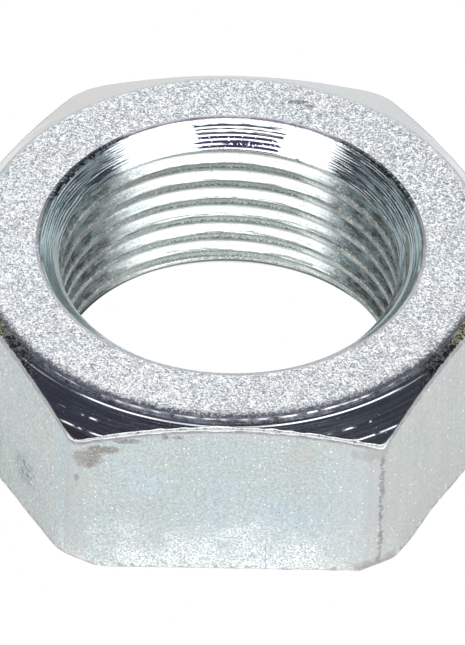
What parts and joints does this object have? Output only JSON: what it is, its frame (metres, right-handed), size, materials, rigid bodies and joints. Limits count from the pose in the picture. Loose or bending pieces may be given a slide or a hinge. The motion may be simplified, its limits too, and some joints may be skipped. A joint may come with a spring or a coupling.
{
  "type": "hex nut",
  "caption": "Thin hexagonal nut with a threaded through bore, countersunk at both ends, with a broad turned chamfer round the upper face and only the corner tips cut back at the lower face.",
  "frame": {"origin": "centre of the lower bearing face, on the axis of the thread", "axes": "+Z along the axis of the thread towards the upper face; +Y square to one pair of flats, so two corners lie on the X axis"},
  "size_m": [0.0538, 0.047, 0.0174],
  "materials": {
    "zinc_steel": "satin zinc plate over turned and forged steel"
  },
  "bodies": {
    "root": {"hex_nut": "zinc_steel"}
  },
  "joints": []
}
